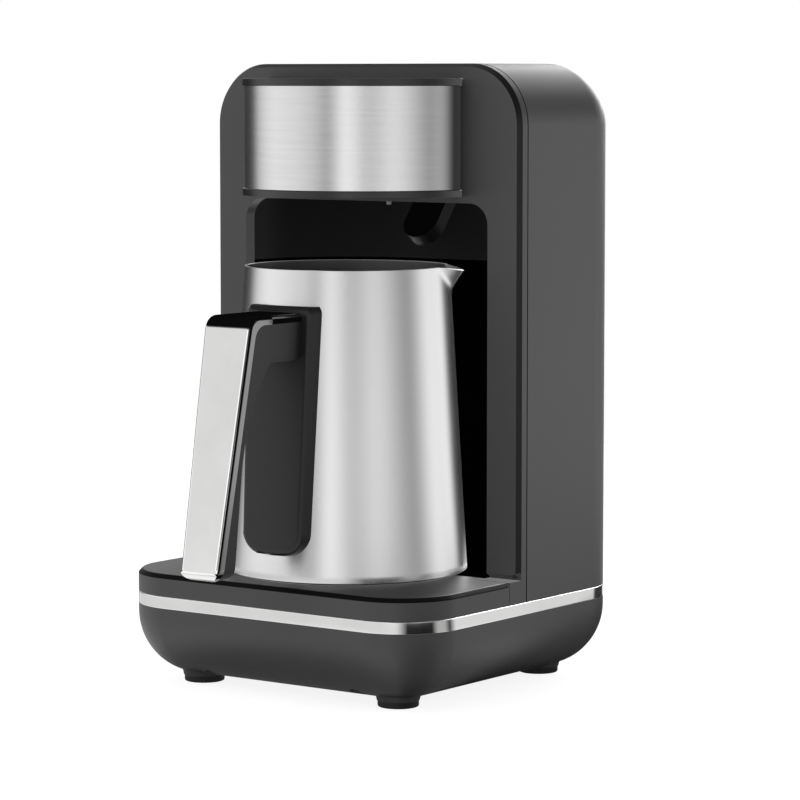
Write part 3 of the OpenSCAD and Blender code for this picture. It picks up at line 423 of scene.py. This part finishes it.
# ---------------------------------------------------------------- deck and hot plate
# The deck is a moulded lid that closes the tub in front. The cast hot plate comes up through a
# round hole in it, under the pot, with a red seal in the gap.
def scored(piece, y):
    """Cuts a piece's faces along a line across it, so that its finish can change there."""
    take(piece)
    bpy.ops.object.mode_set(mode="EDIT")
    bpy.ops.mesh.select_all(action="SELECT")
    bpy.ops.mesh.bisect(plane_co=(0, y, 0), plane_no=(0, 1, 0))
    bpy.ops.object.mode_set(mode="OBJECT")


def repaint(piece, material, chosen):
    """A second finish on the faces that a test of normal and centre picks."""
    piece.data.materials.append(material)
    slot = len(piece.data.materials) - 1
    for face in piece.data.polygons:
        if chosen(face.normal, face.center):
            face.material_index = slot


deck = rounded("deck", "deck_cover", 0.0004, body_grey)
bay_half = 0.06
bay_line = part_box("front_frame")[0].y + 0.0045
deck_bevel_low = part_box("deck")[1].z - 0.006
scored(deck, bay_line)


def in_bay(normal, centre):
    return centre.y > bay_line and abs(centre.x) < bay_half


def on_deck_bevel(normal, centre):
    """Faces that tilt, between the flat top and the upright side."""
    tilted = 0.3 < normal.z < 0.92
    return tilted and centre.z > deck_bevel_low and not in_bay(normal, centre)


# painted shade: inside the bay its floor is painted matt black, and the bevel round its edge is
# painted dark
repaint(deck, moulded("bay_floor_painted_shade", (0.004, 0.004, 0.004), 0.7, gloss=0), in_bay)
# painted shade on the deck's bevel; the same black is the dark of the joints at the arch's lip
# and the housing's front edge
joint_black_and_painted_shade = moulded("joint_black_and_painted_shade", (0.004, 0.004, 0.004), 0.5, gloss=0.12)
repaint(deck, joint_black_and_painted_shade, on_deck_bevel)


def turned(name, colour, rough, lines):
    """Metal that was turned or cast: fine marks along X or round the upright axis."""
    metal = Finish(bpy.data.materials.new(name))
    where = metal.add("ShaderNodeTexCoord", out="Object")
    brush = noise(metal, where, scale=1, detail=3, stretch=(14, 14, 3200))
    cloud = noise(metal, where, scale=30, detail=2)
    return coated(metal, toned(metal, colour, 0.04, cloud), wavering(rough, 0.06, brush),
                  height=brush, strength=lines, distance=0.0001, fixed={"Metallic": 1})


cast_plate = turned("cast_plate", (0.45, 0.45, 0.46), 0.35, 0.1)
dress(cast_plate, "hot_plate", "heat_shield", "pot_base_disc")
seal_red = moulded("seal_red", (0.2, 0.045, 0.03), 0.55)
dress(seal_red, "plate_gasket")

# ---------------------------------------------------------------- front frame
# The moulded arch in front of the housing. Two feet carry it on the trim, a lip at its back
# enters the housing, and the bevel round its face is finished darker.
arch = rounded("front_frame", "arch", 0.0004, body_grey, whole_faces=False)
arch_low, arch_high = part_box("front_frame")
foot_top = arch_low.z + 0.012
bevel_back = arch_low.y + 0.0087
lip_end = arch_high.y - 0.0005


def on_arch_bevel(normal, centre):
    tilted = -0.93 < normal.y < -0.4
    return tilted and centre.z > foot_top and centre.y < bevel_back


def on_lip_end(normal, centre):
    faces_back = normal.y > 0.2
    return faces_back and centre.y > lip_end


repaint(arch, moulded("bevel_black", (0.008, 0.008, 0.008), 0.4, gloss=0.25), on_arch_bevel)
repaint(arch, joint_black_and_painted_shade, on_lip_end)

# ---------------------------------------------------------------- rear housing
# The tall hood behind the arch, one moulding with large round edges and a row of vents. Its
# front edge, deep in the narrow joint with the arch, is black.
housing_grey = moulded("housing_grey", (0.043, 0.043, 0.045), 0.44)
housing_shader = housing_grey.node_tree.nodes["Principled BSDF"]
housing_shader.inputs["Sheen Weight"].default_value = 0.3
housing_shader.inputs["Sheen Roughness"].default_value = 0.3
hood = rounded("rear_housing", "housing_shell", 0.0006, housing_grey)
joint_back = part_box("rear_housing")[0].y + 0.0007


def in_joint(normal, centre):
    faces_joint = normal.y < -0.2
    return faces_joint and centre.y < joint_back


repaint(hood, joint_black_and_painted_shade, in_joint)
dress(moulded("gland_black", (0.01, 0.01, 0.01), 0.5), "cord_gland")

# ---------------------------------------------------------------- bay
# A black liner below and a dark grey hood above, both screwed to the back of the arch. A foam
# sensor leans down from the ceiling and a pilot lamp sits beside it.
liner_black = moulded("liner_black", (0.0022, 0.0022, 0.0022), 0.5, gloss=0)
liner = rounded("bay_liner", "liner", 0.0004, liner_black)
hood_black = moulded("hood_black", (0.024, 0.024, 0.025), 0.42, gloss=0.04)
canopy = rounded("bay_hood", "canopy", 0.0004, hood_black)
sensor_black = moulded("sensor_black", (0.004, 0.004, 0.004), 0.35, gloss=0.05)
sensor = rounded("sensor_pod", "sensor", 0.0006, sensor_black)
smoked_lens = moulded("smoked_lens", (0.01, 0.012, 0.016), 0.12, grain=0.02, gloss=0.1)
dress(smoked_lens, "sensor_lens")
light_guide = moulded("light_guide", (0.5, 0.5, 0.5), 0.25, grain=0.02)
dress(light_guide, "pilot_lamp")

# ---------------------------------------------------------------- head
# A half-round drum over the bay: black moulded lips above and below a band of rolled stainless
# steel, which is bent round the drum and held between them.
lip_black = moulded("lip_black", (0.008, 0.008, 0.008), 0.28, grain=0.05)
rounded("head_drum", "drum", 0.0006, lip_black)


def rolled(name, colour, rough, lines):
    """Stainless sheet with short fine brush marks along its length, and painted shade at its
    ends.
    """
    sheet = Finish(bpy.data.materials.new(name))
    where = sheet.add("ShaderNodeTexCoord", out="Object")
    marks = noise(sheet, where, scale=1, detail=2, stretch=(60, 60, 4200))
    patches = noise(sheet, where, scale=1, detail=3, stretch=(35, 35, 900))
    # painted shade: the sheet's colour turns nearly black where its ends run back into the shade
    # of the frame
    shade_line = 0.0022
    shade_soft = 0.006
    painted_end_shade = sheet.parts(where)[1].above(shade_line, shade_soft)
    nearly_black = (0.02, 0.02, 0.02, 1)
    tint = sheet.add(
        "ShaderNodeMix", {"data_type": "RGBA"},
        {0: painted_end_shade, 6: toned(sheet, colour, 0.03, patches), 7: nearly_black}, out=2,
    )
    return coated(sheet, tint, wavering(rough, 0.06, patches),
                  height=marks, strength=lines, distance=0.0001, fixed={"Metallic": 1})


wrap_steel = rolled("wrap_steel", (0.6, 0.6, 0.6), 0.24, 0.1)
rounded("head_wrap", "wrap", 0.0001, wrap_steel, steps=1)

# ---------------------------------------------------------------- start button
# A flush black cap in a bright ring on the top. It slides down on a coil spring of round wire
# and presses a small switch on the board.
button_black = moulded("button_black", (0.012, 0.012, 0.0125), 0.38)
rounded("start_button", "button_cap", 0.0004, button_black)
rounded("button_ring", "button_surround", 0.0004, bright_plate)
zinc = turned("zinc_steel", (0.5, 0.5, 0.5), 0.32, 0.1)
spring = rounded("button_spring", "spring", 0.00003, zinc, steps=1, sharp=60, whole_faces=False)
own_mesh(spring)
switch_black = moulded("switch_black", (0.01, 0.01, 0.01), 0.5)
dress(switch_black, "button_switch", "buzzer", "chassis_plate")

# ---------------------------------------------------------------- inner works
# The heater, the boards, the loom and the screws are out of view, in the plain finishes that
# such bought parts have.
dress(zinc, "base_screws", "chassis_screws", "frame_screws", "board_screws", "plate_screws",
      "heater_tube", "thermal_fuse", "handle_stud")
brass = turned("brass", (0.6, 0.42, 0.14), 0.3, 0.1)
dress(brass, "shield_nut", "handle_nut")
cream_plastic = moulded("cream_plastic", (0.7, 0.66, 0.55), 0.5)
dress(cream_plastic, "terminal_block", "plate_thermostat")
board_green = moulded("board_green", (0.02, 0.14, 0.05), 0.3)
dress(board_green, "control_board", "power_board")
relay_blue = moulded("relay_blue", (0.03, 0.08, 0.3), 0.35)
dress(relay_blue, "power_relay")
wire_grey = moulded("wire_grey", (0.25, 0.25, 0.25), 0.5)
dress(wire_grey, "wire_loom")

# ---------------------------------------------------------------- pot
# Spun from thin stainless sheet and satin finished, with one pinched spout drawn out of the
# rim, a smoothed edge and a thicker disc bonded under it.
pot_low, pot_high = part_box("pot_body")
base_low, base_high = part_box("pot_base_disc")
axis = (base_low + base_high) / 2
base_r = 0.0476
rim_r = 0.0406
sheet_t = 0.0008
slices = 360
bands = 72
crowding = 1.7
pot_rise = pot_high.z - pot_low.z
deselect()
bpy.ops.mesh.primitive_cylinder_add(
    vertices=slices, radius=base_r, depth=pot_rise, end_fill_type="NOTHING",
    location=(axis.x, axis.y, pot_low.z + pot_rise / 2),
)
pot = bpy.context.object
pot.name = "pot_shell"
bpy.ops.object.transform_apply(location=True)
bpy.ops.object.mode_set(mode="EDIT")
# the wall in bands that crowd together under the rim, where the spout is drawn
for band in range(1, bands):
    height = pot_low.z + pot_rise * (1 - (1 - band / bands) ** crowding)
    bpy.ops.mesh.select_all(action="SELECT")
    bpy.ops.mesh.bisect(plane_co=(0, 0, height), plane_no=(0, 0, 1))
bpy.ops.object.mode_set(mode="OBJECT")
for vertex in pot.data.vertices:
    share = (vertex.co.z - pot_low.z) / pot_rise
    taper = (base_r + (rim_r - base_r) * share) / base_r
    vertex.co.x = axis.x + (vertex.co.x - axis.x) * taper
    vertex.co.y = axis.y + (vertex.co.y - axis.y) * taper

# the spout: a small pinched V that stands out steeply from the wall and dips a little at its
# tip; its flanks run straight to a blunt nose
spout_turn = math.radians(30)
spout_half = math.radians(22.4)
spout_out = 0.0059
spout_h = 0.0105
spout_dip = 0.0018
flank_bow = 0.7
nose_round = 0.03
crease_drop = 0.35
crease_reach = 1.4
nose = math.sqrt(nose_round)
creased = []
for vertex in pot.data.vertices:
    dx, dy = vertex.co.x - axis.x, vertex.co.y - axis.y
    turned_by = abs(math.atan2(dy, dx) - spout_turn)
    rise = 1 - (pot_high.z - vertex.co.z) / spout_h
    if rise > -crease_drop and turned_by < spout_half * crease_reach:
        creased.append(vertex.index)
    if rise <= 0:
        continue
    half = spout_half * rise ** flank_bow
    if turned_by >= half:
        continue
    away = math.sqrt((turned_by / half) ** 2 + nose_round) - nose
    away = away / (math.sqrt(1 + nose_round) - nose)
    chord = rim_r * half ** 2 * away * (1 - away) / 2
    out = max(0, spout_out * rise * (1 - away) - chord)
    radius = math.hypot(dx, dy)
    vertex.co.x += dx / radius * out
    vertex.co.y += dy / radius * out
    vertex.co.z -= spout_dip * out / spout_out * rise
# the crease where it leaves the wall is soft; the level rim beside it stays where it is
rim_line = pot_high.z - 0.0001
bpy.ops.object.mode_set(mode="EDIT")
bpy.ops.mesh.select_mode(type="VERT")
bpy.ops.mesh.select_all(action="DESELECT")
bpy.ops.object.mode_set(mode="OBJECT")
for index in creased:
    if pot.data.vertices[index].co.z < rim_line:
        pot.data.vertices[index].select = True
bpy.ops.object.mode_set(mode="EDIT")
bpy.ops.mesh.vertices_smooth(factor=0.5, repeat=6)
bpy.ops.object.mode_set(mode="OBJECT")
finish_with(pot, "SOLIDIFY", thickness=sheet_t, offset=-1)
rim_angle = math.radians(50)
finish_with(pot, "BEVEL", width=0.00025, segments=2, limit_method="ANGLE",
            angle_limit=rim_angle)
bpy.ops.object.shade_smooth_by_angle(angle=rim_angle)


def spun(name, colour, rough):
    """Satin stainless: very fine marks round the pot that draw reflections out upright."""
    steel = Finish(bpy.data.materials.new(name))
    where = steel.add("ShaderNodeTexCoord", out="Object")
    marks = noise(steel, where, scale=1, detail=1, stretch=(20, 20, 9000))
    cloud = noise(steel, where, scale=25, detail=2)
    return coated(steel, toned(steel, colour, 0.015, cloud), wavering(rough, 0.04, cloud),
                  height=marks, strength=0.06, distance=0.0001, fixed={"Metallic": 1})


def inside_or_rim(normal, centre):
    inside = normal.x * (centre.x - axis.x) + normal.y * (centre.y - axis.y) < 0
    on_rim = normal.z > 0.6
    return inside or on_rim


pot_steel = spun("pot_steel", (0.66, 0.66, 0.66), 0.26)
pot.data.materials.append(pot_steel)
# painted shade: inside and on its rim the steel is painted darker, and it is rougher there
repaint(pot, spun("pot_inner_painted_shade", (0.22, 0.22, 0.22), 0.4), inside_or_rim)
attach(pot, "pot")
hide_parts("pot_body")

# the pot's floor, a flat disc pressed into the lower end of the wall
floor_t = 0.001
deselect()
bpy.ops.mesh.primitive_cylinder_add(
    vertices=144, radius=base_r - sheet_t, depth=floor_t,
    location=(axis.x, axis.y, base_high.z + floor_t / 2),
)
pot_floor = bpy.context.object
pot_floor.name = "pot_floor"
bpy.ops.object.transform_apply(location=True)
finish_with(pot_floor, "BEVEL", width=0.0003, segments=2, limit_method="ANGLE")
bpy.ops.object.shade_smooth_by_angle(angle=math.radians(40))
pot_floor.data.materials.append(pot_steel)
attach(pot_floor, "pot")


# ---------------------------------------------------------------- handle
# A black bracket that hugs the wall, a black lever grip on a welded stud, and a bright cover
# that snaps over the grip's top and front and laps a little onto its sides.
def faces_front(normal):
    return normal.y < -0.95


def faces_elsewhere(normal):
    return not faces_front(normal)


def faces_side(normal):
    return abs(normal.x) > 0.9


def faces_outward(normal):
    return normal.y < -0.3 or normal.z > 0.3


handle_black = moulded("handle_black", (0.012, 0.012, 0.013), 0.42, gloss=0.4)
bracket_round = 0.0018
cover_round = 0.0017
rounded("handle_bracket", "bracket", 0.0003, handle_black, steps=2,
        soft=(bracket_round, faces_front, faces_elsewhere))
rounded("handle_grip", "grip", 0.0005, handle_black, steps=4)
cover = rounded("handle_cover", "cover", 0.0002, bright_plate, steps=2,
                soft=(cover_round, faces_side, faces_outward))
# painted reflection: on the cover's top, and on the arm past a line just behind the bend, the
# plating is painted black for the dark it mirrors, except on the rounds along its two edges
painted_dark_from = axis.y - 0.062
scored(cover, painted_dark_from)


def on_arm_round(normal, centre):
    tilted = normal.z > 0.2 and abs(normal.x) > 0.2
    return tilted and centre.y > painted_dark_from


def on_cover_side(normal, centre):
    upright = abs(normal.x) > 0.93
    return upright and not on_arm_round(normal, centre)


def dark_painted_faces(normal, centre):
    """The top and all past the line, a painted dark reflection, and along each edge of the front
    a painted shade line.
    """
    on_top = normal.z > 0.35 or centre.y > painted_dark_from
    on_edge = 0.7 < abs(normal.x) < 0.93
    return (on_top or on_edge) and not on_arm_round(normal, centre)


# painted reflection: the cover's upright sides get a darker copy of the plating
repaint(cover, plated("side_plate_painted_dim", (0.2, 0.2, 0.2), 0.16), on_cover_side)
cover_painted_black = moulded("cover_painted_black", (0.004, 0.004, 0.004), 0.3, grain=0.02, gloss=0)
repaint(cover, cover_painted_black, dark_painted_faces)

# ---------------------------------------------------------------- what the steel mirrors
# The bay and the body round it would hide the soft boxes from the pot, which shines on all
# sides, so they are left out of reflections, and so are the small parts inside.
for piece in (liner, canopy, sensor, hood, arch, deck, tub, *frame["nodes"].values()):
    piece.visible_glossy = False
